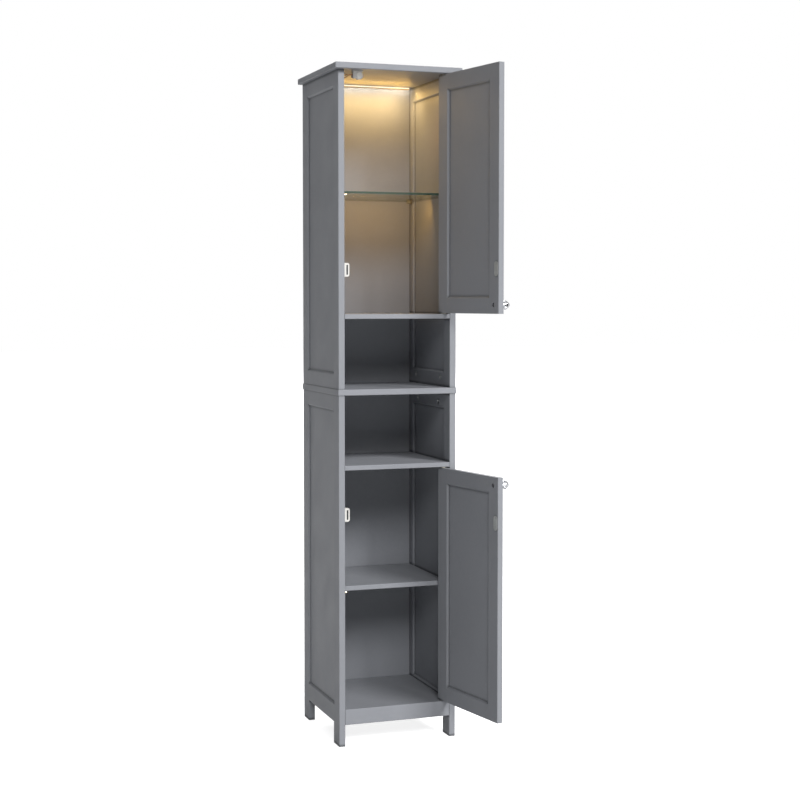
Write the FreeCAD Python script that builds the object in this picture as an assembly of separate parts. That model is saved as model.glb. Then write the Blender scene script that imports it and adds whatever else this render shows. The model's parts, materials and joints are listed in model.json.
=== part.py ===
import FreeCAD, Part
import math
import os

os.makedirs("parts", exist_ok=True)
V = FreeCAD.Vector

# Tall two-door bathroom cabinet, in millimetres.
# Frame: origin on the floor under the middle of the carcass, +X to the right seen from the
# front, +Y to the back, +Z up.  The doors are drawn closed and then swung open on their pins.

# ---------------------------------------------------------------- carcass plan and heights
body_w = 311.0          # outside of one side frame to the outside of the other
body_d = 315.0          # front edge to back edge of a side frame
leg_h = 54.0            # floor to the underside of the apron and of the foot rails
apron_h = 39.0
cupboard_h = 601.5      # clear height behind each door
niche_h = 175.0         # clear height of each open niche
board_t = 15.0          # top board and mid board
shelf_t = 12.0          # fixed shelves, bottom panel and loose shelf
apron_t = 15.0

top_over_side = 11.5    # how far the top board stands out
top_over_front = 15.5
top_over_back = 5.5
mid_over = 1.6          # the mid board stands out a little all round
edge_ease = 1.0         # eased edges of the painted boards
top_ease = 1.5

# ---------------------------------------------------------------- framed sides
side_t = 16.0
side_stile_w = 46.0
side_rail_h = 41.0
foot_rail_h = 48.0
side_panel_t = 6.0
groove_d = 8.0          # panel grooves, and the rail tongues that fill their ends
panel_float = 1.0       # room left at the bottom of a panel groove
bevel = 4.5             # sloping inner edge of every frame

# ---------------------------------------------------------------- back panels
back_t = 4.0
back_inset = 12.0       # back edge of the stile to the back of the panel
back_groove_d = 5.0
back_float = 0.5

# ---------------------------------------------------------------- doors
door_t = 15.0
door_stile_w = 46.0
door_rail_h = 42.0
door_panel_t = 5.0
door_gap_end = 2.0      # above and below a door
door_gap_free = 1.5
door_gap_hinge = 2.0
door_corner_r = 2.0     # rounds the corner that swings past the side frame
open_angle = 100.5

# ---------------------------------------------------------------- pivot hinges
pivot_from_edge = 12.5  # pin to the hinge edge of the door, in the middle of its thickness
pin_r = 2.5
pin_rise = 9.0          # pin above its plate
running_gap = 0.05
bush_r = 4.0            # across the flats of the part that is let in
bush_h = 8.5            # depth of the bore past the flange
bush_floor = 1.2
bush_flange_r = 5.5
bush_play = 0.2         # between the bush flange and the hinge plate
plate_t = 1.2
plate_w = 11.0
plate_end = 7.5         # pin to the near end of the plate
plate_len = 31.0
plate_clip = 2.0        # clipped corners of the plate
plate_screw_pitch = 9.0

# ---------------------------------------------------------------- screws on the doors
wood_screw_r = 1.75
wood_screw_head_r = 3.2
wood_screw_len = 14.0
wood_screw_head_h = 1.2
strike_screw_r = 1.5
strike_screw_head_r = 2.7
strike_screw_len = 11.0

# ---------------------------------------------------------------- knobs
knob_from_free = 22.5
knob_from_end = 21.0
knob_flange_r = 8.0
knob_flange_t = 1.5
knob_neck_r = 4.5
knob_neck_h = 5.0       # door to the narrowest place
knob_seat_r = 7.0
knob_seat_t = 1.4
knob_base_h = 9.0
crystal_foot_r = 6.2
crystal_girdle_r = 11.8
crystal_table_r = 7.0
crystal_girdle_h = 10.0
crystal_h = 18.0
crystal_sides = 10
knob_screw_r = 2.0
knob_screw_bite = 6.0
knob_screw_head_r = 4.5
knob_screw_top_r = 2.7
knob_screw_head_h = 2.2
knob_hole_gap = 0.25
knob_sink_d = 5.0       # the screw sits in a wider bore on the inner face
knob_sink_gap = 0.7     # around its head

# ---------------------------------------------------------------- magnetic catches
strike_w = 16.0
strike_h = 36.0
strike_t = 1.0
strike_from_free = 10.4
strike_screw_z = 10.0
upper_catch_up = 108.0      # above the foot of the upper door
lower_catch_down = 111.0    # below the head of the lower door
magnet_gap = 0.3            # closed door: strike plate to magnet
magnet_w = 4.2
magnet_h = 24.0
magnet_d = 10.0
magnet_proud = 0.3
catch_w = 17.5
catch_h = 34.0
catch_d = 14.0
catch_corner_r = 5.0
catch_foot_t = 2.0
catch_foot_l = 9.5
catch_screw_z = 9.0

# ---------------------------------------------------------------- loose shelves and pins
shelf_setback = 26.0        # front edge of the loose shelves behind the carcass front
shelf_play = 1.0            # at each end and at the back
glass_t = 6.0
glass_ease = 0.6
glass_up = 299.5            # upper fixed shelf to the underside of the glass
loose_shelf_up = 295.0      # bottom panel to the underside of the loose shelf
shelf_pin_from_edge = 29.5  # pins and shelf bolts, from the edge of the side frame
shelf_pin_r = 3.0
shelf_pin_in = 8.0
shelf_pin_out = 14.0

# ---------------------------------------------------------------- cam fittings
cam_r = 7.4
cam_depth = 12.5
cam_drop = 24.0             # cam centre to the joint
cam_inset = 67.5            # from the edge of the side frame
cam_stagger = 14.0          # keeps the bolts above and below the mid board apart
shelf_cam_r = 6.0
shelf_cam_depth = 9.5
bolt_bite = 10.0            # bolt past the joint
bolt_r = 3.0

# ---------------------------------------------------------------- light bar and its sensor
led_end_gap = 11.5          # end of the bar to the side frame
led_w = 12.0
led_h = 6.0
led_wall = 1.2
led_from_back = 18.0        # back of the bar to the back panel
led_round = 2.5
sensor_from_side = 46.0
sensor_r = 10.0
sensor_d = 14.0
sensor_front = 21.5         # front of the sensor behind the carcass front
sensor_plate_t = 2.0
sensor_sink = 1.2           # how far the round case is sunk in its plate and its block
sensor_block_w = 7.5
sensor_block_h = 18.0
lens_r = 7.5
lens_top_r = 4.5
lens_d = 2.0
lead_r = 1.2
lead_bend = 7.0             # largest bend radius of the lead
lead_straight = 10.0        # straight run out of the sensor
lead_droop = 6.0            # sag between the sensor and the side frame
lead_swerve = 6.0           # how far back it meets the side frame
lead_rise = 34.0            # and where it reaches the ceiling
lead_clear = 0.2            # between the lead and what it lies against

# ---------------------------------------------------------------- sides of small round pieces
turned_sides = 24
cam_sides = 16
screw_sides = 10
pin_sides = 12
bolt_sides = 8

# ================================================================ levels worked out from these
front_y = -body_d / 2
back_y = body_d / 2
side_out = body_w / 2
side_in = side_out - side_t
z_floor_top = leg_h + apron_h
z_low_shelf = z_floor_top + cupboard_h
z_low_shelf_top = z_low_shelf + shelf_t
z_mid = z_low_shelf_top + niche_h
z_mid_top = z_mid + board_t
z_up_shelf = z_mid_top + niche_h
z_up_shelf_top = z_up_shelf + shelf_t
z_ceiling = z_up_shelf_top + cupboard_h
z_top = z_ceiling + board_t
back_face = back_y - back_inset - back_t        # inner face of the back panels
support_y = back_y - shelf_pin_from_edge
glass_z = z_up_shelf_top + glass_up
loose_shelf_z = z_floor_top + loose_shelf_up
pivot_x = side_in - door_gap_hinge - pivot_from_edge
pivot_y = front_y + door_t / 2
door_back = front_y + door_t                    # inner face of a closed door
door_free_x = -side_in + door_gap_free
door_hinge_x = side_in - door_gap_hinge

nodes = {}


# ================================================================ small builders
def box(x0, x1, y0, y1, z0, z1):
    return Part.makeBox(x1 - x0, y1 - y0, z1 - z0, V(x0, y0, z0))


def rod(radius, start, direction, length):
    return Part.makeCylinder(radius, length, start, direction)


def polygon(sides, radius, centre, direction):
    """Corners of a regular polygon square to direction, a flat facing each main axis."""
    across = V(direction.y, direction.z, direction.x)
    up = direction.cross(across)
    step = 2 * math.pi / sides
    corner_r = radius / math.cos(step / 2)
    return [centre + across * (corner_r * math.cos((i + 0.5) * step))
            + up * (corner_r * math.sin((i + 0.5) * step)) for i in range(sides)]


def flat(corners):
    return Part.Face(Part.makePolygon(corners + corners[:1]))


def skin(rings):
    """Solid with flat sides between rings of corners that lie in parallel planes."""
    faces = [flat(rings[0]), flat(rings[-1])]
    for low, high in zip(rings, rings[1:]):
        for i in range(len(low)):
            faces.append(flat([low[i - 1], low[i], high[i], high[i - 1]]))
    shell = Part.Shell(faces)
    shell.sewShape()
    return Part.makeSolid(shell)


def prism(sides, radius, start, direction, length):
    """Small round piece drawn with flats; radius is from its axis to a flat."""
    return flat(polygon(sides, radius, start, direction)).extrude(direction * length)


def taper(sides, radius0, radius1, start, direction, length):
    return skin([polygon(sides, radius0, start, direction),
                 polygon(sides, radius1, start + direction * length, direction)])


def mirror_x(shape):
    return shape.mirror(V(0, 0, 0), V(1, 0, 0))


def eased(shape, size, wanted):
    """Chamfer the edges of a solid for which wanted(edge) is true."""
    return shape.makeChamfer(size, [e for e in shape.Edges if wanted(e)])


def runs_along(edge, axis):
    """True when a straight edge runs along one axis: 0, 1 or 2."""
    spread = [edge.BoundBox.XLength, edge.BoundBox.YLength, edge.BoundBox.ZLength]
    return all(s < 1e-6 for i, s in enumerate(spread) if i != axis)


def rectangle(x0, x1, z0, z1, y):
    return [V(x0, y, z0), V(x1, y, z0), V(x1, y, z1), V(x0, y, z1)]


def stadium(width, height, y0, y1, x, z):
    """Plate with rounded ends, its faces square to Y."""
    half = height / 2 - width / 2
    body = box(x - width / 2, x + width / 2, y0, y1, z - half, z + half)
    ends = [prism(cam_sides, width / 2, V(x, y0, z + end), V(0, 1, 0), y1 - y0)
            for end in (-half, half)]
    return body.fuse(ends).removeSplitter()


def countersunk_screw(radius, head_radius, head_h, length, start, direction):
    """Flat-headed screw: head flush at start, shank along direction."""
    head = taper(screw_sides, head_radius, radius, start, direction, head_h)
    shank = prism(screw_sides, radius, start, direction, length)
    return head.fuse(shank).removeSplitter()


def take(name, *tools):
    """Cut tools out of a node."""
    nodes[name] = nodes[name].cut(list(tools))


# ================================================================ frame with a floating panel
def frame_and_panel(prefix, width, depth, z0, z1, foot, stile_w, top_h, foot_h, panel_t):
    """Two stiles, two rails and a panel, drawn square to Y with a corner at the origin.

    The rails lie between the stiles.  One groove in every inner edge holds the panel, and
    tongues on the rail ends fill the grooves of the stiles.  foot is the underside of the
    lower rail; stiles that reach below it are legs.
    """
    groove0 = (depth - panel_t) / 2
    groove1 = groove0 + panel_t
    in0, in1 = stile_w, width - stile_w
    rail_low = foot + foot_h
    rail_high = z1 - top_h
    sill = groove_d - panel_float

    cutters = []
    for face, step in ((0.0, 1.0), (depth, -1.0)):
        wide = rectangle(in0 - bevel, in1 + bevel, rail_low - bevel, rail_high + bevel, face)
        slim = rectangle(in0, in1, rail_low, rail_high, face + step * bevel)
        cutters.append(skin([wide, slim]))

    stiles = {}
    for name, x0, x1, mouth in (("first_stile", 0.0, in0, in0 - groove_d),
                                ("second_stile", in1, width, in1)):
        blank = box(x0, x1, 0, depth, z0, z1)
        groove = box(mouth, mouth + groove_d, groove0, groove1, foot, z1)
        outer = 0.0 if x0 == 0.0 else width
        stile = eased(blank, edge_ease,
                      lambda e: runs_along(e, 2) and abs(e.BoundBox.XMin - outer) < 1e-6)
        stiles[name] = stile.cut([groove] + cutters)

    rails = {}
    for name, low, high, slot in (("bottom_rail", foot, rail_low, rail_low - groove_d),
                                  ("top_rail", rail_high, z1, rail_high)):
        blank = box(in0, in1, 0, depth, low, high)
        tongue = box(in0 - groove_d, in1 + groove_d, groove0, groove1, low, high)
        channel = box(in0 - groove_d, in1 + groove_d, groove0, groove1, slot, slot + groove_d)
        rails[name] = blank.fuse(tongue).removeSplitter().cut([channel] + cutters)

    panel = box(in0 - sill, in1 + sill, groove0, groove1, rail_low - sill, rail_high + sill)
    pieces = dict(stiles, panel=panel, **rails)
    return {prefix + key: shape for key, shape in pieces.items()}


# ================================================================ the two pairs of side frames
def side_frame(level, z0, z1, foot, foot_h):
    """Left frame of one module; the right one is its mirror image."""
    raw = frame_and_panel("", body_d, side_t, z0, z1, foot, side_stile_w, side_rail_h,
                          foot_h, side_panel_t)
    plain = {"first_stile": "front_stile", "second_stile": "back_stile"}
    for key, shape in raw.items():
        shape = shape.copy()
        shape.rotate(V(0, 0, 0), V(0, 0, 1), 90)
        shape.translate(V(-side_in, front_y, 0))
        piece = plain.get(key, key)
        nodes["left_" + level + "_" + piece] = shape
        nodes["right_" + level + "_" + piece] = mirror_x(shape)


side_frame("upper", z_mid_top, z_ceiling, z_mid_top, side_rail_h)
side_frame("lower", 0.0, z_mid, leg_h, foot_rail_h)


# ================================================================ boards across the carcass
def flat_board(x_half, y0, y1, z0, thickness, ease):
    """A horizontal board with all its outer edges eased."""
    blank = box(-x_half, x_half, y0, y1, z0, z0 + thickness)
    return eased(blank, ease, lambda e: True)


def shelf_between_sides(y0, y1, z0):
    """A shelf that fits between the side frames, its front edges eased."""
    blank = box(-side_in, side_in, y0, y1, z0, z0 + shelf_t)
    return eased(blank, edge_ease,
                 lambda e: runs_along(e, 0) and abs(e.BoundBox.YMin - y0) < 1e-6)


nodes["top_board"] = flat_board(side_out + top_over_side, front_y - top_over_front,
                                back_y + top_over_back, z_ceiling, board_t, top_ease)
nodes["mid_board"] = flat_board(side_out + mid_over, front_y - mid_over, back_y + mid_over,
                                z_mid, board_t, edge_ease)
nodes["upper_fixed_shelf"] = shelf_between_sides(front_y, back_face, z_up_shelf)
nodes["lower_fixed_shelf"] = shelf_between_sides(front_y, back_face, z_low_shelf)
nodes["bottom_panel"] = box(-side_in, side_in, front_y + apron_t, back_face,
                            z_floor_top - shelf_t, z_floor_top)
apron = box(-side_in, side_in, front_y, front_y + apron_t, leg_h, z_floor_top)
nodes["front_apron"] = eased(apron, edge_ease, lambda e: runs_along(e, 0)
                             and abs(e.BoundBox.YMin - front_y) < 1e-6)

# ---------------------------------------------------------------- back panels in their grooves
back_half = side_in + back_groove_d


def back_panel(name, z0, z1):
    nodes[name] = box(-back_half + back_float, back_half - back_float,
                      back_face, back_face + back_t, z0, z1)


back_sill = back_groove_d - back_float
back_panel("upper_back_panel", z_mid_top - back_sill, z_ceiling + back_sill)
back_panel("lower_back_panel", z_floor_top - shelf_t, z_mid + back_sill)


def back_groove(z0, z1):
    return box(-back_half, back_half, back_face, back_face + back_t, z0, z1)


for side in ("left", "right"):
    take(side + "_upper_back_stile", back_groove(z_mid_top, z_ceiling))
    take(side + "_lower_back_stile", back_groove(z_floor_top - shelf_t, z_mid))
take("top_board", back_groove(z_ceiling, z_ceiling + back_groove_d))
take("mid_board", back_groove(z_mid_top - back_groove_d, z_mid_top),
     back_groove(z_mid, z_mid + back_groove_d))

# ================================================================ cam fittings
fasteners = []


def cam_joint(cam_at, cam_axis, board_thickness, radius, depth, bolt_way, cam_host, bolt_host):
    """One cam and its bolt, which lies in the middle of the cam's board.

    cam_at is the mouth of the cam's bore, cam_axis points into the board and bolt_way
    points across the joint.
    """
    reach = cam_drop
    cam = prism(cam_sides, radius, cam_at, cam_axis, depth)
    cam_wall = cam_at + cam_axis * (board_thickness / 2) + bolt_way * radius
    bolt = prism(bolt_sides, bolt_r, cam_wall, bolt_way, reach - radius + bolt_bite)
    take(cam_host, cam, bolt)
    take(bolt_host, bolt)
    fasteners.extend([cam, bolt])


cam_y = back_y - cam_inset
for side, sign in (("left", -1.0), ("right", 1.0)):
    outward = V(sign, 0, 0)
    for rail, board, joint_z, way, y_half in (
            ("_upper_top_rail", "top_board", z_ceiling, 1.0, cam_y),
            ("_upper_bottom_rail", "mid_board", z_mid_top, -1.0, cam_y),
            ("_lower_top_rail", "mid_board", z_mid, 1.0, cam_y - cam_stagger)):
        for y in (-y_half, y_half):
            mouth = V(sign * side_in, y, joint_z - way * cam_drop)
            cam_joint(mouth, outward, side_t, cam_r, cam_depth, V(0, 0, way),
                      side + rail, board)
    for shelf, z0, level in (("upper_fixed_shelf", z_up_shelf, "_upper_"),
                             ("lower_fixed_shelf", z_low_shelf, "_lower_"),
                             ("bottom_panel", z_floor_top - shelf_t, "_lower_")):
        for y, stile in ((-support_y, "front_stile"), (support_y, "back_stile")):
            mouth = V(sign * (side_in - cam_drop), y, z0)
            cam_joint(mouth, V(0, 0, 1), shelf_t, shelf_cam_r, shelf_cam_depth, outward,
                      shelf, side + level + stile)

# ================================================================ loose shelves on their pins
shelf_half = side_in - shelf_play
nodes["glass_shelf"] = eased(box(-shelf_half, shelf_half, front_y + shelf_setback,
                                 back_face - shelf_play, glass_z, glass_z + glass_t),
                             glass_ease, lambda e: True)
nodes["loose_shelf"] = flat_board(shelf_half, front_y + shelf_setback, back_face - shelf_play,
                                  loose_shelf_z, shelf_t, edge_ease)


def shelf_pin(sign, y, seat_z):
    """A shelf support pushed into the stile; the shelf rests on its upper flat."""
    inner_end = V(sign * (side_in + shelf_pin_in), y, seat_z - shelf_pin_r)
    return prism(pin_sides, shelf_pin_r, inner_end, V(-sign, 0, 0),
                 shelf_pin_in + shelf_pin_out)


shelf_pins = []
for side, sign in (("left", -1.0), ("right", 1.0)):
    for y, stile in ((-support_y, "front_stile"), (support_y, "back_stile")):
        for seat_z, level in ((glass_z, "_upper_"), (loose_shelf_z, "_lower_")):
            pin = shelf_pin(sign, y, seat_z)
            shelf_pins.append(pin)
            take(side + level + stile, pin)
nodes["shelf_pins"] = Part.makeCompound(shelf_pins)

# ================================================================ pivot bushes in the carcass
bushes = []


def pivot_bush(host, face_z, into):
    """Flanged bush let into a board; into is +1 when it goes up into the board."""
    away = V(0, 0, -into)
    inward = V(0, 0, into)
    at = V(pivot_x, pivot_y, face_z)
    flange_t = door_gap_end - bush_play
    bore = rod(pin_r + running_gap, at + away * flange_t, inward, flange_t + bush_h)
    body = prism(pin_sides, bush_r, at, inward, bush_h + bush_floor)
    flange = prism(turned_sides, bush_flange_r, at, away, flange_t)
    bushes.append(body.fuse(flange).removeSplitter().cut(bore))
    take(host, body)


pivot_bush("top_board", z_ceiling, 1.0)
pivot_bush("upper_fixed_shelf", z_up_shelf_top, -1.0)
pivot_bush("lower_fixed_shelf", z_low_shelf, 1.0)
pivot_bush("front_apron", z_floor_top, -1.0)
nodes["pivot_bushes"] = Part.makeCompound(bushes)


# ================================================================ doors and what they carry
def knob_base(x, z):
    """Turned metal foot of the knob: flange, waist and the seat of the crystal."""
    rings = ((knob_flange_r, 0.0), (knob_flange_r, knob_flange_t), (knob_neck_r, knob_neck_h),
             (knob_seat_r, knob_base_h - knob_seat_t), (knob_seat_r, knob_base_h))
    outward = V(0, -1, 0)
    foot = V(x, front_y, z)
    turned = skin([polygon(turned_sides, radius, foot + outward * height, outward)
                   for radius, height in rings])
    return turned.cut(prism(screw_sides, knob_screw_r, foot, outward, knob_screw_bite))


def knob_crystal(x, z):
    """Cut-glass head: flat foot, girdle and table, joined by triangular facets."""
    rings = ((crystal_foot_r, 0.0, 0.0), (crystal_girdle_r, crystal_girdle_h, 0.5),
             (crystal_table_r, crystal_h, 0.0))
    step = 2 * math.pi / crystal_sides
    base_y = front_y - knob_base_h

    def point(ring, i):
        radius, height, shift = rings[ring]
        angle = (i + shift) * step
        return V(x + radius * math.cos(angle), base_y - height, z + radius * math.sin(angle))

    count = range(crystal_sides)
    faces = [flat([point(0, i) for i in count]), flat([point(2, i) for i in count])]
    for i in count:
        faces.append(flat([point(0, i), point(0, i + 1), point(1, i)]))
        faces.append(flat([point(1, i), point(1, i + 1), point(0, i + 1)]))
        faces.append(flat([point(2, i), point(2, i + 1), point(1, i)]))
        faces.append(flat([point(1, i), point(1, i + 1), point(2, i + 1)]))
    return Part.Solid(Part.makeShell(faces))


def knob_screw(x, z):
    """Machine screw from inside the door into the knob, its head sunk in the door."""
    seat = V(x, door_back - knob_sink_d, z)
    head = taper(screw_sides, knob_screw_head_r, knob_screw_top_r, seat, V(0, 1, 0),
                 knob_screw_head_h)
    shank = prism(screw_sides, knob_screw_r, seat, V(0, -1, 0),
                  door_t - knob_sink_d + knob_screw_bite)
    return head.fuse(shank).removeSplitter()


def pivot_plate(face_z, up):
    """Steel plate with its riveted pin, let in flush to one end of the hinge stile."""
    mid_y = (front_y + door_back) / 2
    x1 = pivot_x + plate_end
    low, high = sorted((face_z, face_z - up * plate_t))
    blank = box(x1 - plate_len, x1, mid_y - plate_w / 2, mid_y + plate_w / 2, low, high)
    blank = eased(blank, plate_clip, lambda e: runs_along(e, 2))
    screws = []
    for i in (1, 2):
        head_at = V(pivot_x - i * plate_screw_pitch, mid_y, face_z)
        screws.append(countersunk_screw(wood_screw_r, wood_screw_head_r, wood_screw_head_h,
                                        wood_screw_len, head_at, V(0, 0, -up)))
    pin = rod(pin_r, V(pivot_x, pivot_y, face_z), V(0, 0, up), pin_rise)
    plate = blank.cut(screws).fuse(pin).removeSplitter()
    return plate, blank, screws


def strike(z):
    """Thin steel plate on the door's inner face, held by two screws."""
    x = door_free_x + strike_from_free
    plate = stadium(strike_w, strike_h, door_back, door_back + strike_t, x, z)
    screws = []
    for dz in (-strike_screw_z, strike_screw_z):
        head_at = V(x, door_back + strike_t, z + dz)
        screws.append(countersunk_screw(strike_screw_r, strike_screw_head_r, strike_t,
                                        strike_screw_len, head_at, V(0, -1, 0)))
    return plate.cut(screws), screws


def door(level, z0, z1, knob_z, catch_z):
    prefix = level + "_door_"
    width = door_hinge_x - door_free_x
    raw = frame_and_panel("", width, door_t, z0, z1, z0, door_stile_w, door_rail_h,
                          door_rail_h, door_panel_t)
    plain = {"first_stile": "free_stile", "second_stile": "hinge_stile"}
    for key, shape in raw.items():
        shape = shape.copy()
        shape.translate(V(door_free_x, front_y, 0))
        nodes[prefix + plain.get(key, key)] = shape

    # the corner of the hinge edge that swings past the side frame is rounded off
    corner = V(door_hinge_x - door_corner_r, front_y + door_corner_r, z0)
    waste = box(corner.x, door_hinge_x, front_y, corner.y, z0, z1)
    waste = waste.cut(rod(door_corner_r, corner, V(0, 0, 1), z1 - z0))
    take(prefix + "hinge_stile", waste)

    plates, screws = [], []
    for face_z, up in ((z1, 1.0), (z0, -1.0)):
        plate, blank, plate_screws = pivot_plate(face_z, up)
        plates.append(plate)
        screws += plate_screws
        take(prefix + "hinge_stile", blank, *plate_screws)
    nodes[prefix + "pivot_plates"] = Part.makeCompound(plates)

    nodes[prefix + "strike_plate"], strike_screws = strike(catch_z)
    screws += strike_screws
    take(prefix + "free_stile", *strike_screws)

    knob_x = door_free_x + knob_from_free
    nodes[prefix + "knob_base"] = knob_base(knob_x, knob_z)
    nodes[prefix + "knob_crystal"] = knob_crystal(knob_x, knob_z)
    screws.append(knob_screw(knob_x, knob_z))
    way = prism(screw_sides, knob_screw_r + knob_hole_gap, V(knob_x, front_y, knob_z),
                V(0, 1, 0), door_t)
    sink = prism(turned_sides, knob_screw_head_r + knob_sink_gap,
                 V(knob_x, door_back - knob_sink_d, knob_z), V(0, 1, 0), knob_sink_d)
    take(prefix + "free_stile", way, sink)
    nodes[prefix + "screws"] = Part.makeCompound(screws)

    for name in [n for n in nodes if n.startswith(prefix)]:
        nodes[name].rotate(V(pivot_x, pivot_y, 0), V(0, 0, 1), open_angle)


upper_door_z0 = z_up_shelf_top + door_gap_end
upper_door_z1 = z_ceiling - door_gap_end
lower_door_z0 = z_floor_top + door_gap_end
lower_door_z1 = z_low_shelf - door_gap_end
upper_catch_z = upper_door_z0 + upper_catch_up
lower_catch_z = lower_door_z1 - lower_catch_down

door("upper", upper_door_z0, upper_door_z1, upper_door_z0 + knob_from_end, upper_catch_z)
door("lower", lower_door_z0, lower_door_z1, lower_door_z1 - knob_from_end, lower_catch_z)

# ================================================================ magnetic catches
magnet_face = door_back + strike_t + magnet_gap
case_face = magnet_face + magnet_proud
magnet_x = door_free_x + strike_from_free


def magnetic_catch(z, stile):
    """Plastic case on the left front stile, its magnet in a slot that faces the door."""
    x0, x1 = -side_in, -side_in + catch_w
    body = box(x0, x1, case_face, case_face + catch_d, z - catch_h / 2, z + catch_h / 2)
    room_edges = [e for e in body.Edges
                  if runs_along(e, 1) and abs(e.BoundBox.XMin - x1) < 1e-6]
    body = body.makeFillet(catch_corner_r, room_edges)
    foot = box(x0, x0 + catch_foot_t, case_face + catch_d, case_face + catch_d + catch_foot_l,
               z - catch_h / 2, z + catch_h / 2)
    magnet = box(magnet_x - magnet_w / 2, magnet_x + magnet_w / 2,
                 magnet_face, magnet_face + magnet_d, z - magnet_h / 2, z + magnet_h / 2)
    case = body.fuse(foot).removeSplitter().cut(magnet)
    screw_y = case_face + catch_d + catch_foot_l / 2
    for dz in (-catch_screw_z, catch_screw_z):
        head_at = V(x0 + catch_foot_t, screw_y, z + dz)
        screw = countersunk_screw(wood_screw_r, wood_screw_head_r, wood_screw_head_h,
                                  wood_screw_len, head_at, V(-1, 0, 0))
        case = case.cut(screw)
        take(stile, screw)
        fasteners.append(screw)
    return case, magnet


upper_case, upper_magnet = magnetic_catch(upper_catch_z, "left_upper_front_stile")
lower_case, lower_magnet = magnetic_catch(lower_catch_z, "left_lower_front_stile")
nodes["catch_cases"] = Part.makeCompound([upper_case, lower_case])
nodes["catch_magnets"] = Part.makeCompound([upper_magnet, lower_magnet])
nodes["carcass_fasteners"] = Part.makeCompound(fasteners)

# ================================================================ light bar under the ceiling
led_half = side_in - led_end_gap
led_back = back_face - led_from_back
led_front = led_back - led_w
led_low = z_ceiling - led_h
channel_top = box(-led_half, led_half, led_front, led_back, z_ceiling - led_wall, z_ceiling)
channel_back = box(-led_half, led_half, led_back - led_wall, led_back, led_low, z_ceiling)
channel_ends = [box(x - led_wall / 2, x + led_wall / 2, led_front, led_back, led_low, z_ceiling)
                for x in (-led_half + led_wall / 2, led_half - led_wall / 2)]
nodes["led_channel"] = channel_top.fuse([channel_back] + channel_ends).removeSplitter()
diffuser = box(-led_half + led_wall, led_half - led_wall, led_front, led_back - led_wall,
               led_low, z_ceiling - led_wall)
nodes["led_diffuser"] = diffuser.makeFillet(led_round, [
    e for e in diffuser.Edges if runs_along(e, 0)
    and abs(e.BoundBox.YMin - led_front) < 1e-6 and abs(e.BoundBox.ZMin - led_low) < 1e-6])

# ---------------------------------------------------------------- door sensor at the front
sensor_x = -side_in + sensor_from_side
sensor_y = front_y + sensor_front
sensor_z = z_ceiling - sensor_plate_t + sensor_sink - sensor_r
block_x1 = sensor_x - sensor_r + sensor_sink
block_x0 = block_x1 - sensor_block_w
puck = rod(sensor_r, V(sensor_x, sensor_y, sensor_z), V(0, 1, 0), sensor_d)
sensor_plate = box(block_x0, sensor_x + sensor_r, sensor_y, sensor_y + sensor_d,
                   z_ceiling - sensor_plate_t, z_ceiling)
block = box(block_x0, block_x1, sensor_y, sensor_y + sensor_d,
            z_ceiling - sensor_block_h, z_ceiling)
sensor_body = puck.fuse([sensor_plate, block]).removeSplitter()

nodes["motion_sensor"] = sensor_body
nodes["sensor_lens"] = taper(turned_sides, lens_r, lens_top_r,
                             V(sensor_x, sensor_y, sensor_z), V(0, -1, 0), lens_d)


# ---------------------------------------------------------------- lead from sensor to light bar
def bent_wire(points, bend):
    """Straight runs joined by tangent arcs; a bend is no larger than its runs allow."""
    edges = []
    cursor = points[0]
    for before, at, after in zip(points, points[1:], points[2:]):
        way_in = (at - before).normalize()
        way_out = (after - at).normalize()
        turn = way_in.getAngle(way_out)
        run = min((at - before).Length, (after - at).Length)
        radius = min(bend, 0.45 * run / math.tan(turn / 2))
        setback = radius * math.tan(turn / 2)
        arc_in = at - way_in * setback
        arc_out = at + way_out * setback
        inside = (way_out - way_in).normalize()
        arc_mid = at + inside * (radius / math.cos(turn / 2) - radius)
        edges.append(Part.LineSegment(cursor, arc_in).toShape())
        edges.append(Part.Arc(arc_in, arc_mid, arc_out).toShape())
        cursor = arc_out
    edges.append(Part.LineSegment(cursor, points[-1]).toShape())
    return Part.Wire(edges)


lead_x = -side_in + lead_r + lead_clear
lead_end_y = (led_front + led_back) / 2
lead_z = z_ceiling - lead_r - lead_clear
lead_exit_z = z_ceiling - sensor_block_h / 2
lead_exit_y = sensor_y + sensor_d / 2
lead_points = [
    V(block_x0, lead_exit_y, lead_exit_z),
    V(block_x0 - lead_straight, lead_exit_y, lead_exit_z),
    V(lead_x, lead_exit_y + lead_swerve, lead_exit_z - lead_droop),
    V(lead_x, lead_exit_y + lead_rise, lead_z),
    V(lead_x, lead_end_y, lead_z),
    V(-led_half, lead_end_y, lead_z),
]
lead_path = bent_wire(lead_points, lead_bend)
lead_section = flat(polygon(bolt_sides, lead_r, lead_points[0], V(-1, 0, 0)))
nodes["sensor_lead"] = Part.Solid(lead_path.makePipeShell([lead_section.OuterWire], True, True))

# ================================================================ write every node
for name, shape in sorted(nodes.items()):
    shape.exportStep("parts/" + name + ".step")
    state = "valid" if shape.isValid() else "NOT VALID"
    print(name, len(shape.Solids), "solids", round(shape.Volume, 1), "mm3", state)
print(len(nodes), "nodes")
lead_length = sum(e.Length for e in lead_path.Edges)
print("lead", round(lead_length, 1), "mm; tube volume over section times length",
      round(nodes["sensor_lead"].Volume / (lead_section.Area * lead_length), 4))
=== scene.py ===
"""Looks of the tall bathroom cabinet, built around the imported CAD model.  Lengths in metres."""
import json
import math

import bmesh
import bpy
from mathutils import Matrix, Vector


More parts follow.
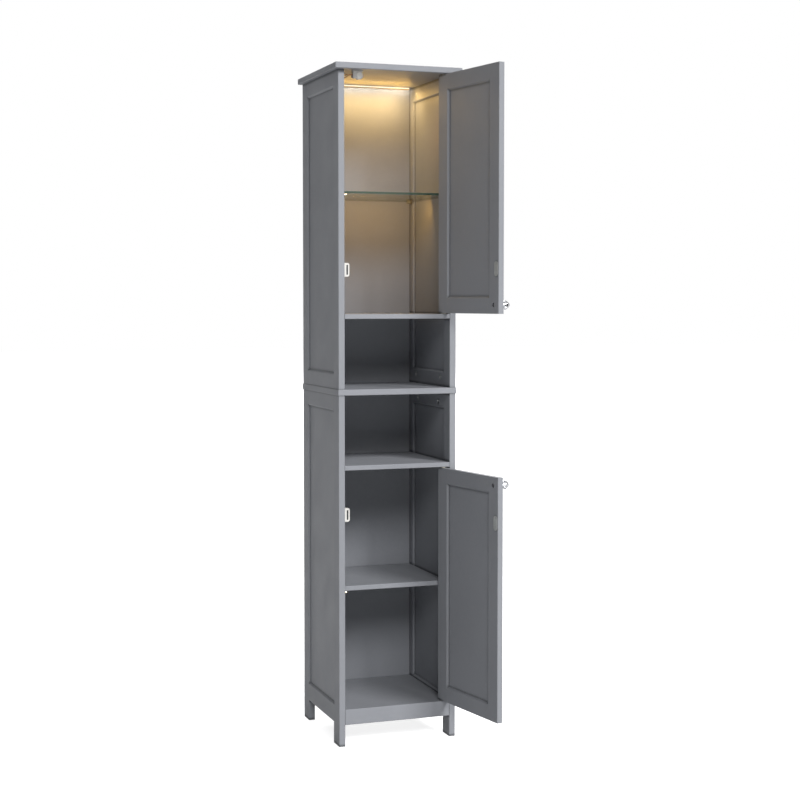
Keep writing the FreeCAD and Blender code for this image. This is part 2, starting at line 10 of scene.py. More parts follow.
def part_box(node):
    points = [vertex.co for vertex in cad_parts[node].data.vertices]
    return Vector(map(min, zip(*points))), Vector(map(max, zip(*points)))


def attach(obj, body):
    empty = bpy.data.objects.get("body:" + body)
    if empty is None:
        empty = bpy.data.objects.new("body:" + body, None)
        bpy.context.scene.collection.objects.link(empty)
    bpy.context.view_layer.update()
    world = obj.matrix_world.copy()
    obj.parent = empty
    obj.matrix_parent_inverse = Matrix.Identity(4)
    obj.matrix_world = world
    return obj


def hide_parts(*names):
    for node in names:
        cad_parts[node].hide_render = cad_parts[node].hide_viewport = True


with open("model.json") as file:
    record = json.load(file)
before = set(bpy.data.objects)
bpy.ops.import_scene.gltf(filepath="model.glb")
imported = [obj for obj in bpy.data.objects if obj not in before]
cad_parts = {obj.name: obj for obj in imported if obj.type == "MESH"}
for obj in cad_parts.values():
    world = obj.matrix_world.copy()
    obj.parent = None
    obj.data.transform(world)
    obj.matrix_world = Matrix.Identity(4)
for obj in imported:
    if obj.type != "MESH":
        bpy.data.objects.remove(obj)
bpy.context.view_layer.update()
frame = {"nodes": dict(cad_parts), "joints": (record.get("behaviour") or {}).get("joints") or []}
NODES = frame["nodes"]
MM = 0.001

# ---------------------------------------------------------------- places taken from the frame
UPPER_HINGE = next(j for j in frame["joints"] if j["name"] == "upper_door_hinge")
PIVOT = Vector((UPPER_HINGE["pos_m"][0], UPPER_HINGE["pos_m"][1], 0.0))
OPEN_ANGLE = math.radians(-UPPER_HINGE["range_deg"][0])
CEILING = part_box("top_board")[0].z
LED_LOW, LED_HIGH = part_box("led_diffuser")

# The doors stand open at rest; SWING takes a closed door there.
SWING = (Matrix.Translation(PIVOT) @ Matrix.Rotation(OPEN_ANGLE, 4, "Z")
         @ Matrix.Translation(-PIVOT))
STILL = Matrix.Identity(4)

# ---------------------------------------------------------------- camera fitted to the photograph
FRAME_PX = 800.0
FOCAL_PX = 1576.22
SENSOR = 36.0                           # millimetres, as the camera has it
SHIFT = -0.025
CAMERA_AT = Vector((-1.31818, -3.87845, 1.12148))
CAMERA_TURN = math.radians(19.5834)     # to the right of straight ahead
CAMERA_TILT = math.radians(2.9478)      # downwards


def make_camera():
    """Tilted down a little, so that the lens shift stays small enough for the other views."""
    data = bpy.data.cameras.new("camera")
    data.sensor_width = SENSOR
    data.lens = FOCAL_PX / FRAME_PX * SENSOR
    data.shift_y = SHIFT
    data.clip_start, data.clip_end = 0.05, 60.0
    camera = bpy.data.objects.new("camera", data)
    camera.location = CAMERA_AT
    camera.rotation_euler = (math.pi / 2 - CAMERA_TILT, 0.0, -CAMERA_TURN)
    bpy.context.scene.collection.objects.link(camera)
    bpy.context.scene.camera = camera


# ---------------------------------------------------------------- node tree helpers
class Tree:
    """A node tree whose nodes are made and linked in few words."""

    def __init__(self, tree):
        self.tree = tree

    def plug(self, socket, value):
        """Link a socket to another one, or give it a number or a colour."""
        if isinstance(value, bpy.types.NodeSocket):
            self.tree.links.new(value, socket)
        elif socket.type == "RGBA" and len(value) == 3:
            socket.default_value = (*value, 1.0)
        else:
            socket.default_value = value

    def add(self, kind, **inputs):
        node = self.tree.nodes.new(kind)
        for key, value in inputs.items():
            self.plug(node.inputs[key.replace("_", " ")], value)
        return node

    def place(self):
        """Coordinates in metres that move with the piece."""
        return self.add("ShaderNodeTexCoord").outputs["Object"]

    def split(self, vector):
        return self.add("ShaderNodeSeparateXYZ", Vector=vector).outputs

    def noise(self, scale, detail=3.0, roughness=0.5, vector=None):
        node = self.add("ShaderNodeTexNoise", Vector=vector or self.place(), Scale=scale,
                        Detail=detail, Roughness=roughness)
        return node.outputs["Fac"]

    def span(self, value, from_low, from_high, to_low, to_high):
        """Carry a value from one range over to another, held at the ends."""
        node = self.add("ShaderNodeMapRange", Value=value, From_Min=from_low, From_Max=from_high,
                        To_Min=to_low, To_Max=to_high)
        return node.outputs["Result"]

    def math(self, operation, *values, kind="ShaderNodeMath", result=0):
        node = self.tree.nodes.new(kind)
        node.operation = operation
        for socket, value in zip(node.inputs, values):
            self.plug(socket, value)
        return node.outputs[result]

    def vector_math(self, operation, *values, result="Vector"):
        return self.math(operation, *values, kind="ShaderNodeVectorMath", result=result)

    def mix(self, factor, a, b):
        """Blend two colours."""
        node = self.tree.nodes.new("ShaderNodeMix")
        node.data_type = "RGBA"
        for number, value in ((0, factor), (6, a), (7, b)):
            self.plug(node.inputs[number], value)
        return node.outputs[2]

    def bump(self, height, distance, strength, normal=None):
        node = self.add("ShaderNodeBump", Height=height, Distance=distance, Strength=strength)
        if normal is not None:
            self.plug(node.inputs["Normal"], normal)
        return node.outputs["Normal"]


class Finish(Tree):
    """A material with the principled shader."""

    def __init__(self, name):
        self.material = bpy.data.materials.new(name)
        self.material.use_nodes = True
        super().__init__(self.material.node_tree)
        self.shader = self.tree.nodes["Principled BSDF"]

    def set(self, **inputs):
        for key, value in inputs.items():
            self.plug(self.shader.inputs[key.replace("_", " ")], value)


def linear(code):
    """Linear colour of an sRGB hex code."""
    channels = [int(code[i:i + 2], 16) / 255 for i in (0, 2, 4)]
    return tuple(c / 12.92 if c <= 0.04045 else ((c + 0.055) / 1.055) ** 2.4 for c in channels)


def scaled(colour, factor):
    return tuple(min(1.0, c * factor) for c in colour)


# ---------------------------------------------------------------- materials
PAINT = linear("86888d")
BOARD_TONES = (1.0, 0.985, 1.015)       # the boards differ a little, as sprayed ones do
SOFT_EDGE = 0.9 * MM
# Painted shade in creases and corners: its reach, the share of open space where it starts and
# ends, how dark it gets.
FLAT_CREASE_SHADE = (3 * MM, 0.75, 0.35, 0.7)
MITRED_CREASE_SHADE = (8 * MM, 0.975, 0.80, 0.8)
FLAT_PANELS = ("bottom_panel", "lower_back_panel", "upper_back_panel")
CHIP_PITCH = 8.3 * MM                   # of the chips behind the lit diffuser


def painted_board(name, tone, crease_shade):
    """Sprayed grey satin paint: faint clouding, orange peel, a painted highlight along the edges,
    painted shade in creases and corners.

    Framed pieces meet in mitred bevels, where the painted shade reaches further into the crease.
    """
    t = Finish(name)
    base = scaled(PAINT, tone)
    clouds = t.noise(3.0, detail=4.0)
    specks = t.noise(90.0, detail=2.0)
    colour = t.mix(t.span(clouds, 0.35, 0.65, 0.0, 1.0), scaled(base, 0.965), scaled(base, 1.035))
    colour = t.mix(t.span(specks, 0.45, 0.75, 0.0, 0.35), colour, scaled(base, 1.06))
    soft = t.add("ShaderNodeBevel", Radius=SOFT_EDGE)
    soft.samples = 4
    sharp = t.add("ShaderNodeNewGeometry").outputs["Normal"]
    turned = t.vector_math("DOT_PRODUCT", soft.outputs["Normal"], sharp, result="Value")
    # Painted highlight: the rounded edges are drawn lighter, broken up by noise.
    edge = t.span(turned, 0.995, 0.90, 0.0, 1.0)
    edge_highlight = t.math("MULTIPLY", edge, t.span(t.noise(35.0), 0.35, 0.7, 0.2, 0.75))
    colour = t.mix(edge_highlight, colour, scaled(base, 1.35))
    # Painted shade: the paint darkens where little open space is around it, in creases, corners
    # and recesses.
    distance, starts, ends, deepest = crease_shade
    nook = t.add("ShaderNodeAmbientOcclusion", Distance=distance)
    nook.samples = 6
    colour = t.mix(t.span(nook.outputs["AO"], starts, ends, 0.0, deepest), colour,
                   scaled(base, 0.28))
    peel = t.noise(420.0, detail=2.0)
    grain = t.noise(1400.0, detail=1.0)
    height = t.math("ADD", peel, t.math("MULTIPLY", grain, 0.35))
    t.set(Base_Color=colour, Roughness=t.span(t.noise(14.0), 0.3, 0.7, 0.46, 0.56),
          Specular_IOR_Level=0.15,
          Normal=t.bump(height, 0.06 * MM, 0.5, soft.outputs["Normal"]))
    return t.material


def float_glass():
    """Clear sheet glass: mirror-like at a slant, clear otherwise, deep green at its edges."""
    t = Finish("float_glass")
    coords = t.add("ShaderNodeTexCoord").outputs
    up = t.math("ABSOLUTE", t.split(coords["Normal"])["Z"])
    face = t.span(up, 0.5, 0.95, 0.0, 1.0)
    # The front edge is nearly opaque, and the back one lets more through.
    edge_cover = t.span(t.split(coords["Object"])["Y"], 0.0, 0.10, 0.94, 0.35)
    slant = t.add("ShaderNodeFresnel", IOR=1.5).outputs[0]
    smear = t.span(t.noise(22.0), 0.35, 0.7, 0.0, 0.03)
    mirror = t.math("ADD", t.math("MULTIPLY", slant, 0.8), smear)
    t.set(Base_Color=t.mix(face, (0.012, 0.040, 0.026), (0.86, 0.92, 0.89)), Metallic=face,
          Roughness=t.span(face, 0.0, 1.0, 0.35, 0.03),
          Alpha=t.mix(face, edge_cover, mirror), IOR=1.5)
    return t.material


def crystal():
    """Cut crystal, with the metal of its seat showing through it."""
    t = Finish("crystal")
    t.set(Base_Color=(0.58, 0.59, 0.61), Roughness=0.0, Metallic=0.55,
          Transmission_Weight=1.0, IOR=1.6)
    return t.material


def metal(name, colour, low, high, scale=60.0, brush=(1.0, 1.0, 1.0)):
    """Metal with fine uneven polish; brush stretches it along an axis."""
    t = Finish(name)
    place = t.vector_math("MULTIPLY", t.place(), brush)
    streaks = t.noise(scale, detail=4.0, roughness=0.65, vector=place)
    tint = t.mix(t.span(streaks, 0.3, 0.7, 0.0, 1.0), scaled(colour, 0.9), scaled(colour, 1.06))
    t.set(Base_Color=tint, Metallic=1.0, Roughness=t.span(streaks, 0.3, 0.7, low, high),
          Normal=t.bump(streaks, 0.02 * MM, 0.3))
    return t.material


def plastic(name, code, roughness):
    """Moulded plastic: fine spark-eroded grain, slightly cloudy tone."""
    t = Finish(name)
    colour = linear(code)
    clouds = t.noise(40.0)
    tint = t.mix(t.span(clouds, 0.35, 0.65, 0.0, 1.0), scaled(colour, 0.96), scaled(colour, 1.03))
    t.set(Base_Color=tint, Normal=t.bump(t.noise(900.0, detail=1.0), 0.04 * MM, 0.4),
          Roughness=t.span(clouds, 0.3, 0.7, roughness - 0.04, roughness + 0.05))
    return t.material


def light_lens():
    """Lit diffuser: bright on its face, dimmer between the chips, with painted shade and a warm
    painted reflection on its dull lower lip.
    """
    t = Finish("light_lens")
    place = t.split(t.place())
    wave = t.math("SINE", t.math("MULTIPLY", place["X"], 2 * math.pi / CHIP_PITCH))
    glow = t.mix(t.span(wave, -1.0, 1.0, 0.0, 1.0), (1.0, 0.84, 0.58), (1.0, 0.90, 0.68))
    # Painted shade and painted reflection: below the lip it hardly glows and shows a warm dark
    # gold colour.
    lip, lit = LED_LOW.z + 1.4 * MM, LED_LOW.z + 2.4 * MM
    t.set(Base_Color=(0.42, 0.30, 0.15), Roughness=0.4, Emission_Color=glow,
          Emission_Strength=t.span(place["Z"], lip, lit, 0.08, 1.25))
    return t.material


def assign(node, material):
    mesh = NODES[node].data
    mesh.materials.clear()
    mesh.materials.append(material)


def dress_cad_nodes():
    """Give every CAD node its finish; the painted boards take three tones in turn."""
    boards = [painted_board("paint_" + str(i), tone, FLAT_CREASE_SHADE)
              for i, tone in enumerate(BOARD_TONES)]
    frames = [painted_board("frame_paint_" + str(i), tone, MITRED_CREASE_SHADE)
              for i, tone in enumerate(BOARD_TONES)]
    steel = metal("zinc_steel", (0.40, 0.41, 0.41), 0.38, 0.52)
    chrome = metal("chrome", (0.78, 0.78, 0.80), 0.05, 0.12)
    white = plastic("white_plastic", "cfcdc8", 0.42)
    finishes = {
        "glass_shelf": float_glass(),
        "shelf_pins": metal("pin_metal", (0.78, 0.68, 0.50), 0.18, 0.3),
        "pivot_bushes": plastic("bush_plastic", "b9b3a4", 0.5),
        "catch_cases": white,
        "motion_sensor": white,
        "catch_magnets": plastic("magnet", "2a2a2c", 0.55),
        "led_channel": metal("led_channel", (0.72, 0.72, 0.71), 0.3, 0.4, 80.0, (0.05, 1.0, 1.0)),
        "led_diffuser": light_lens(),
        "sensor_lens": plastic("sensor_lens", "f0ede6", 0.25),
        "sensor_lead": plastic("lead", "2a1a18", 0.5),
        "carcass_fasteners": steel,
    }
    gem = crystal()
    painted = 0
    for name in sorted(NODES):
        if name in finishes:
            assign(name, finishes[name])
        elif name.endswith("knob_crystal"):
            assign(name, gem)
        elif name.endswith("knob_base"):
            assign(name, chrome)
        elif name.endswith(("pivot_plates", "strike_plate", "screws")):
            assign(name, steel)
        else:
            framed = name.endswith(("stile", "rail", "panel")) and name not in FLAT_PANELS
            assign(name, (frames if framed else boards)[painted % len(BOARD_TONES)])
            painted += 1


# ---------------------------------------------------------------- reading the CAD solids
SAME_LEVEL = 0.02 * MM                  # corners this close along an axis are at one level
CORNER_GRID = 1e6                       # corners alike to a micrometre are the same one
CAM_LEAST = 11.5 * MM                   # a fastener wider than this is a cam
STEPPED = 0.8                           # a screw has an end narrower than this share of its width


def box_of(points):
    low = Vector([min(p[i] for p in points) for i in range(3)])
    high = Vector([max(p[i] for p in points) for i in range(3)])
    return low, high


def solids_of(node, turned=STILL):
    """The separate solids of a node as lists of corners, with the turn of its door undone."""
    mesh = NODES[node].data
    undo = turned.inverted()
    corners = [undo @ v.co for v in mesh.vertices]
    names = [tuple(round(c * CORNER_GRID) for c in p) for p in corners]
    owner = {}

    def root(key):
        while owner.setdefault(key, key) != key:
            key = owner[key]
        return key

    for face in mesh.polygons:
        keys = [root(names[i]) for i in face.vertices]
        for key in keys[1:]:
            owner[root(key)] = root(keys[0])
    groups = {}
    for key, corner in zip(names, corners):
        groups.setdefault(root(key), []).append(corner)
    return sorted(groups.values(), key=lambda g: tuple(round(c, 5) for c in box_of(g)[0]))


def turned_axis(low, high):
    """Axis of a round solid: the other two sides of its box are alike."""
    size = high - low
    return min(range(3), key=lambda i: abs(size[(i + 1) % 3] - size[(i + 2) % 3]))


def from_axis(point, middle, axis):
    """Distance of a point from the line through the middle along an axis."""
    return math.hypot(*[point[i] - middle[i] for i in range(3) if i != axis])


def end_radii(points, axis):
    """Largest distance from the axis among the corners at the low end and at the high end."""
    low, high = box_of(points)
    middle = (low + high) / 2
    return [max((from_axis(p, middle, axis) for p in points if abs(p[axis] - level) < SAME_LEVEL),
                default=0.0) for level in (low[axis], high[axis])]


def unit(axis, way=1.0):
    return Vector([way if i == axis else 0.0 for i in range(3)])


def stand(at, out):
    """Matrix that stands +Z along out, with its origin at a point."""
    return Matrix.Translation(at) @ out.to_track_quat("Z", "Y").to_matrix().to_4x4()


# ---------------------------------------------------------------- small turned and driven pieces
RECESS_TAPER = 0.72                     # width of a cross recess at its floor, over its mouth


class Shape:
    """Mesh made of turned profiles and driven heads."""

    def __init__(self):
        self.bm = bmesh.new()

    def lathe(self, profile, place, steps):
        """Turn a profile of (radius, height) about the local Z axis and give its last ring."""
        rings = []
        for radius, height in profile:
            if radius <= 0.0:
                rings.append([self.bm.verts.new(place @ Vector((0, 0, height)))])
                continue
            rings.append([self.bm.verts.new(place @ Vector((
                radius * math.cos(2 * math.pi * i / steps),
                radius * math.sin(2 * math.pi * i / steps), height))) for i in range(steps)])
        for low, high in zip(rings, rings[1:]):
            for i in range(steps):
                a, b = low[i % len(low)], low[(i + 1) % len(low)]
                c, d = high[(i + 1) % len(high)], high[i % len(high)]
                self.bm.faces.new(list(dict.fromkeys((a, b, c, d))))
        return rings[-1]

    def cross_top(self, ring, place, height, reach, arm, depth):
        """Close a ring with a top that has a cross recess for a driver."""
        outline = []
        for quarter in range(4):
            turn = Matrix.Rotation(quarter * math.pi / 2, 4, "Z")
            for x, y in ((arm, arm), (arm, reach), (-arm, reach)):
                outline.append(turn @ Vector((x, y, 0.0)))
        lip = [self.bm.verts.new(place @ (p + Vector((0, 0, height)))) for p in outline]
        foot = [self.bm.verts.new(place @ (p * RECESS_TAPER + Vector((0, 0, height - depth))))
                for p in outline]
        edges = []
        for loop in (ring, lip):
            for i, vert in enumerate(loop):
                edge = self.bm.edges.get((vert, loop[i - 1]))
                edges.append(edge or self.bm.edges.new((vert, loop[i - 1])))
        bmesh.ops.triangle_fill(self.bm, edges=edges, use_beauty=True)
        for i in range(len(lip)):
            self.bm.faces.new((lip[i - 1], lip[i], foot[i], foot[i - 1]))
        self.bm.faces.new(foot)

    def make(self, name, material, sharp=35.0, turned=STILL):
        """Turn the mesh into an object, smooth but for edges sharper than an angle."""
        bmesh.ops.transform(self.bm, matrix=turned, verts=self.bm.verts)
        bmesh.ops.recalc_face_normals(self.bm, faces=self.bm.faces)
        mesh = bpy.data.meshes.new(name)
        self.bm.to_mesh(mesh)
        self.bm.free()
        for face in mesh.polygons:
            face.use_smooth = True
        mesh.set_sharp_from_angle(angle=math.radians(sharp))
        mesh.materials.append(material)
        piece = bpy.data.objects.new(name, mesh)
        bpy.context.scene.collection.objects.link(piece)
        return piece


def add_screw(shape, points):
    """Cross-head screw in the place of a CAD screw: flush, or domed where its head stands."""
    low, high = box_of(points)
    middle = (low + high) / 2
    axis = turned_axis(low, high)
    ends = end_radii(points, axis)
    at_high = ends[1] > ends[0]
    head = middle.copy()
    head[axis] = high[axis] if at_high else low[axis]
    length = high[axis] - low[axis]
    widest = max(from_axis(p, middle, axis) for p in points)
    top, shank = max(ends), min(ends) * 0.95
    if widest > top * 1.1:
        seat = -2.2 * MM
        profile = [(0.0, -length), (shank, -length), (shank, seat), (widest, seat),
                   (widest, seat + 0.7 * MM), (widest * 0.96, seat + 1.15 * MM),
                   (widest * 0.84, seat + 1.65 * MM), (widest * 0.66, seat + 2.0 * MM),
                   (widest * 0.5, 0.0)]
    else:
        drop = min(1.2 * MM, length / 4)
        profile = [(0.0, -length), (shank, -length + 2 * MM), (shank, -drop),
                   (widest * 0.97, -0.12 * MM), (widest * 0.94, 0.0)]
    place = stand(head, unit(axis, 1.0 if at_high else -1.0))
    ring = shape.lathe(profile, place, 28)
    end = profile[-1][0]
    shape.cross_top(ring, place, 0.0, end * 0.62, end * 0.15, end * 0.55)


def add_cam(shape, points, out):
    """Cam of a furniture fitting: rimmed face with a cross recess."""
    low, high = box_of(points)
    axis = max(range(3), key=lambda i: abs(out[i]))
    face = (low + high) / 2
    face[axis] = high[axis] if out[axis] > 0 else low[axis]
    depth = high[axis] - low[axis]
    radius = min((high - low)[i] for i in range(3) if i != axis) / 2
    place = stand(face, out)
    sunk = -0.45 * MM
    profile = [(0.0, -depth), (radius, -depth), (radius, -0.5 * MM), (radius * 0.965, 0.0),
               (radius * 0.87, 0.0), (radius * 0.83, sunk), (radius * 0.62, sunk)]
    ring = shape.lathe(profile, place, 40)
    shape.cross_top(ring, place, sunk, radius * 0.44, radius * 0.1, 3.0 * MM)


def add_bolt(shape, middle, axis, length, width):
    """Bolt of a cam fitting, with chamfered ends."""
    half = length / 2
    shape.lathe([(0.0, -half), (width * 0.4, -half), (width * 0.48, -half + MM),
                 (width * 0.48, half - MM), (width * 0.4, half), (0.0, half)],
                stand(middle, unit(axis)), 16)


def make_carcass_fasteners(steel):
    """Cams, screws and bolts, told apart by their width and their ends."""
    shape = Shape()
    for points in solids_of("carcass_fasteners"):
        low, high = box_of(points)
        size, middle = high - low, (low + high) / 2
        axis = turned_axis(low, high)
        width = max(size[i] for i in range(3) if i != axis)
        if width > CAM_LEAST and axis == 0:
            add_cam(shape, points, unit(0, -math.copysign(1.0, middle.x)))
        elif width > CAM_LEAST:
            add_cam(shape, points, unit(2, -1.0))
        elif min(end_radii(points, axis)) < STEPPED * width / 2:
            add_screw(shape, points)
        else:
            add_bolt(shape, middle, axis, size[axis], width)
    piece = shape.make("cam_fittings", steel)
    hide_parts("carcass_fasteners")
    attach(piece, "cabinet")


def make_door_screws(level, steel):
    """All screws of one door, with cross heads."""
    shape = Shape()
    node = level + "_door_screws"
    for points in solids_of(node, SWING):
        add_screw(shape, points)
    piece = shape.make(level + "_cross_head_screws", steel, turned=SWING)
    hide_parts(node)
    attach(piece, level + "_door")


def make_knob_base(level, chrome):
    """Turned flange, waisted neck and cup of a knob, drawn from its foot on the door."""
    node = level + "_door_knob_base"
    low, high = box_of(solids_of(node, SWING)[0])
    middle = (low + high) / 2
    radius, height = (high.x - low.x) / 2, high.y - low.y
    shoulder, neck, cup = radius * 0.92, radius * 0.5625, radius * 0.875
    profile = [(0.0, 0.0), (radius, 0.0), (radius, 0.09 * height), (radius * 0.975, 0.13 * height),
               (shoulder, 0.16 * height)]
    for i in range(1, 9):
        t = i / 9
        sweep = math.sin(t * math.pi / 2) ** 0.62
        profile.append((shoulder + (neck - shoulder) * sweep, height * (0.16 + 0.40 * t)))
    profile.append((neck, height * 0.57))
    for i in range(1, 8):
        t = i / 8
        profile.append((neck + (cup - neck) * (1 - math.cos(t * math.pi / 2)),
                        height * (0.57 + 0.27 * t)))
    profile += [(cup, height * 0.85), (cup, height * 0.95), (cup * 0.965, height * 0.985),
                (cup * 0.92, height), (0.0, height)]
    shape = Shape()
    foot = Vector((middle.x, high.y, middle.z))
    shape.lathe(profile, stand(foot, unit(1, -1.0)), 48)
    piece = shape.make(level + "_knob_turning", chrome, turned=SWING)
    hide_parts(node)
    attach(piece, level + "_door")


def make_shelf_pins(brass):
    """Pins with a groove near their tip; each starts inside its side frame."""
    shape = Shape()
    in_board = 8 * MM
    for points in solids_of("shelf_pins"):
        low, high = box_of(points)
        middle = (low + high) / 2
        side = math.copysign(1.0, middle.x)
        length, radius = high.x - low.x, (high.z - low.z) / 2
        start = Vector((high.x if side > 0 else low.x, middle.y, middle.z))
        profile = [(0.0, 0.0), (radius * 0.85, 0.0), (radius * 0.85, in_board - 0.4 * MM),
                   (radius, in_board), (radius, length - 2.2 * MM),
                   (radius * 0.88, length - 1.9 * MM), (radius * 0.88, length - 1.4 * MM),
                   (radius, length - 1.1 * MM), (radius * 0.96, length - 0.45 * MM),
                   (radius * 0.8, length - 0.1 * MM), (radius * 0.5, length), (0.0, length)]
        shape.lathe(profile, stand(start, unit(0, -side)), 28)
    piece = shape.make("turned_shelf_pins", brass)
    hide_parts("shelf_pins")
    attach(piece, "cabinet")


def make_sensor_dome(milky):
    """Ribbed milky dome in front of the sensor."""
    low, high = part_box("sensor_lens")
    radius, depth = (high.x - low.x) / 2, high.y - low.y
    rim = 0.25
    ribs = 6
    profile = [(0.0, 0.0), (radius, 0.0), (radius, rim * depth)]
    for i in range(1, ribs + 1):
        r = radius * (1 - i / (ribs + 1))
        rise = depth * (rim + (1 - rim) * math.sqrt(max(0.0, 1 - (r / radius) ** 2)))
        profile += [(r + 0.12 * MM, rise - 0.16 * MM), (r, rise)]
    profile.append((0.0, depth))
    shape = Shape()
    at = Vector(((low.x + high.x) / 2, high.y, (low.z + high.z) / 2))
    shape.lathe(profile, stand(at, unit(1, -1.0)), 40)
    piece = shape.make("sensor_dome_lens", milky, sharp=25.0)
    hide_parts("sensor_lens")
    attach(piece, "cabinet")


# Routes of the two wires in millimetres, from the sensor to the light bar.
LEAD_UPPER = ((-109.8, -128.6, 1676.6), (-119.8, -128.6, 1677.2), (-131.0, -126.0, 1674.5),
              (-138.2, -121.0, 1675.0), (-138.5, -104.0, 1684.1), (-138.5, -70.0, 1684.1),
              (-138.5, 104.0, 1684.1), (-138.5, 117.1, 1684.1), (-128.0, 117.1, 1684.1))
LEAD_LOWER = ((-109.8, -129.6, 1675.3), (-118.8, -130.2, 1674.6), (-127.5, -128.5, 1668.0),
              (-137.9, -123.5, 1667.5), (-137.4, -99.0, 1682.9), (-137.4, -64.0, 1682.9),
              (-137.4, 104.0, 1682.9), (-137.4, 118.4, 1682.9), (-128.0, 118.4, 1682.9))
WIRE_RADIUS = 0.7 * MM


def make_lead(insulations):
    """Pair of thin wires from the sensor, along the corner of the ceiling, to the light bar."""
    curve = bpy.data.curves.new("lead_wires", "CURVE")
    curve.dimensions = "3D"
    curve.bevel_depth = WIRE_RADIUS
    curve.bevel_resolution = 3
    curve.resolution_u = 10
    curve.use_fill_caps = True
    for i, route in enumerate((LEAD_UPPER, LEAD_LOWER)):
        spline = curve.splines.new("NURBS")
        spline.points.add(len(route) - 1)
        for point, co in zip(spline.points, route):
            point.co = (*[c * MM for c in co], 1.0)
        spline.order_u = 3
        spline.use_endpoint_u = True
        spline.material_index = i
    for material in insulations:
        curve.materials.append(material)
    piece = bpy.data.objects.new("lead_wires", curve)
    bpy.context.scene.collection.objects.link(piece)
    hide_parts("sensor_lead")
    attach(piece, "cabinet")


def make_details():
    """Round pieces drawn smooth in place of the plainer solids, and the wires of the lead."""
    steel = metal("screw_steel", (0.42, 0.43, 0.43), 0.3, 0.42)
    chrome = metal("polished_chrome", (0.80, 0.80, 0.82), 0.03, 0.09)
    make_carcass_fasteners(steel)
    for level in ("upper", "lower"):
        make_door_screws(level, steel)
        make_knob_base(level, chrome)
    make_shelf_pins(metal("pin_brass", (0.80, 0.70, 0.50), 0.16, 0.28))
    make_sensor_dome(plastic("milky_lens", "f6f3ec", 0.22))
    make_lead([plastic("wire_red", "6d2415", 0.35), plastic("wire_black", "1b1817", 0.35)])


# ---------------------------------------------------------------- stage
FLOOR_REACH = 30.0
FLOOR_IN_MIRROR = 0.5                   # keeps chrome and crystal from turning all white
FLOOR_SEEN = (0.3, 1.8, 0.84, 1.0)      # near and far from the object, and the glow there


def mirror_rays(tree, rays):
    """1 for what is seen in metal or through glass, else 0."""
    return tree.math("MAXIMUM", rays["Is Glossy Ray"], rays["Is Transmission Ray"])


def make_floor():
    """Matte pale floor that shows white to the camera and keeps the object's shadow."""
    mesh = bpy.data.meshes.new("floor")
    far = FLOOR_REACH
    mesh.from_pydata([(-far, -far, 0), (far, -far, 0), (far, far, 0), (-far, far, 0)],
                     [], [(0, 1, 2, 3)])
    floor = bpy.data.objects.new("floor", mesh)
    bpy.context.scene.collection.objects.link(floor)
    t = Finish("floor")
    t.tree.nodes.remove(t.shader)
    rays = t.add("ShaderNodeLightPath").outputs
    seen = t.math("MAXIMUM", rays["Is Camera Ray"],
                  t.math("MULTIPLY", mirror_rays(t, rays), FLOOR_IN_MIRROR))
    away = t.vector_math("LENGTH", t.place(), result="Value")
    grain = t.span(t.noise(6.0), 0.3, 0.7, 0.60, 0.63)
    paint = t.add("ShaderNodeCombineColor", Red=grain, Green=grain, Blue=grain)
    matte = t.add("ShaderNodeBsdfDiffuse", Color=paint.outputs["Color"])
    glow = t.add("ShaderNodeEmission",
                 Strength=t.math("MULTIPLY", seen, t.span(away, *FLOOR_SEEN)))
    both = t.tree.nodes.new("ShaderNodeAddShader")
    for socket, layer in zip(both.inputs, (matte, glow)):
        t.plug(socket, layer.outputs[0])
    t.plug(t.tree.nodes["Material Output"].inputs["Surface"], both.outputs[0])
    mesh.materials.append(t.material)


def make_world():
    """White behind the object; metal and glass also see the dark gaps between soft boxes."""
    world = bpy.data.worlds.new("world")
    bpy.context.scene.world = world
    world.use_nodes = True
    t = Tree(world.node_tree)
    rays = t.add("ShaderNodeLightPath").outputs
    way = t.split(t.add("ShaderNodeTexCoord").outputs["Generated"])
    columns = t.math("SINE", t.math("MULTIPLY", t.math("ARCTAN2", way["Y"], way["X"]), 5.0))
    tiers = t.math("SINE", t.math("MULTIPLY", way["Z"], 9.0))
    boxes = t.span(t.math("ADD", columns, tiers), -0.5, 0.2, 0.04, 1.0)
    seen = t.math("MAXIMUM", rays["Is Camera Ray"],
                  t.math("MULTIPLY", mirror_rays(t, rays), boxes))
    background = t.tree.nodes["Background"]
    t.plug(background.inputs["Strength"], seen)
    t.plug(background.inputs["Color"], (1.0, 1.0, 1.0))


# ---------------------------------------------------------------- light
WHITE = (1.0, 1.0, 1.0)
AIM = (0.0, 0.0, 0.8)                   # near the middle of the cabinet
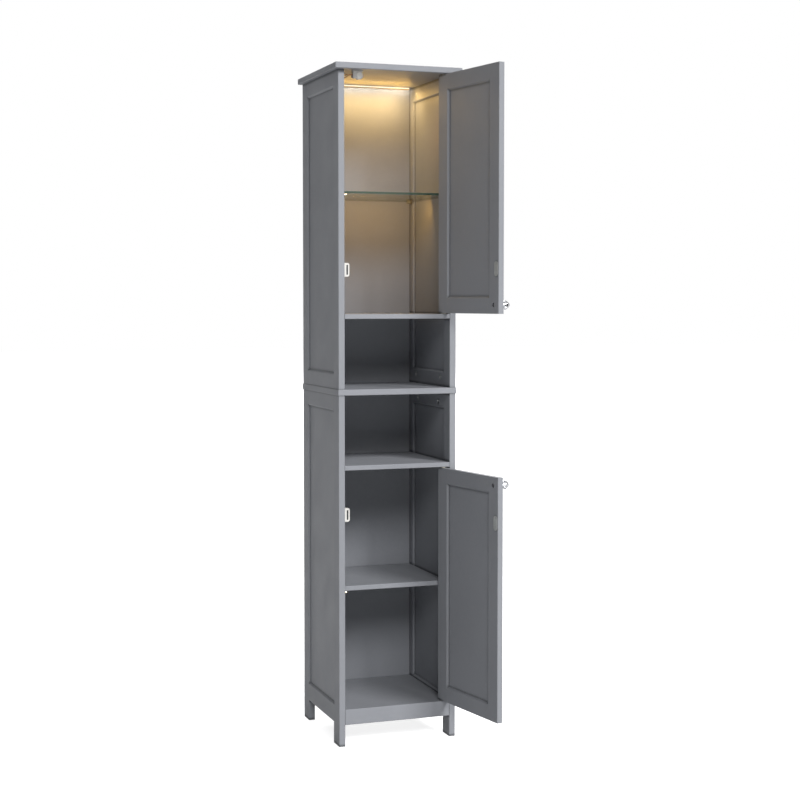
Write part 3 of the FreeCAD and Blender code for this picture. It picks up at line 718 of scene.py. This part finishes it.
# Each lamp: name, place, point that it faces, width and length, watts, colour.
# The one behind is for the views from there.
STUDIO = (
    ("key", (6.5, -15.0, 12.0), AIM, (5.0, 5.0), 3450.0, WHITE),
    ("front", (0.9, -16.5, 12.0), AIM, (5.0, 5.0), 550.0, WHITE),
    ("cross", (-4.0, -15.0, 10.0), AIM, (5.0, 5.0), 1230.0, WHITE),
    ("low", (-0.6, -2.4, 0.35), (0.15, -0.3, 0.35), (0.7, 0.5), 2.8, (0.90, 0.95, 1.0)),
    ("behind", (3.0, 13.0, 12.0), AIM, (7.0, 7.0), 2600.0, WHITE),
)
# The glow of the light bar, with heights from the ceiling of the upper cupboard.
LIGHT_BAR = (
    ("bar_edge", (0.0, 0.124, -0.0035), (0.0, 0.142, -0.012), (0.27, 0.004), 0.125,
     (1.0, 0.85, 0.62)),
    ("glow_high", (-0.004, 0.085, -0.012), (-0.004, 0.095, -CEILING), (0.22, 0.05), 0.69,
     (1.0, 0.67, 0.26)),
    ("glow_right", (0.085, 0.070, -0.03), (0.120, 0.142, -0.065), (0.04, 0.03), 0.06,
     (1.0, 0.70, 0.34)),
    ("glow_front", (0.0, 0.106, -0.022), (0.0, 0.0, -0.004), (LED_HIGH.x - LED_LOW.x, 0.010),
     0.17, (1.0, 0.58, 0.13)),
    ("glow_mid", (0.02, -0.10, -0.13), (0.03, 0.142, -0.22), (0.23, 0.10), 0.11,
     (1.0, 0.42, 0.10)),
    ("glow_low", (0.0, -0.02, -0.318), (0.0, 0.142, -0.39), (0.25, 0.03), 0.23,
     (1.0, 0.53, 0.10)),
)


def area_light(base, name, at, towards, size, power, colour):
    """Rectangular lamp whose place and aim are given from a height above the floor."""
    data = bpy.data.lights.new(name, "AREA")
    data.shape = "RECTANGLE"
    data.size, data.size_y = size
    data.energy = power
    data.color = colour
    lamp = bpy.data.objects.new(name, data)
    lamp.location = Vector(at) + Vector((0.0, 0.0, base))
    lamp.rotation_mode = "QUATERNION"
    lamp.rotation_quaternion = (Vector(towards) - Vector(at)).to_track_quat("-Z", "Y")
    bpy.context.scene.collection.objects.link(lamp)


def make_lights():
    """Big far lamps, a small one low in front, and the glow of the light bar."""
    make_world()
    for base, lamps in ((0.0, STUDIO), (CEILING, LIGHT_BAR)):
        for lamp in lamps:
            area_light(base, *lamp)


make_camera()
dress_cad_nodes()
make_details()
make_floor()
make_lights()
scene = bpy.context.scene
scene.view_settings.view_transform = "Standard"
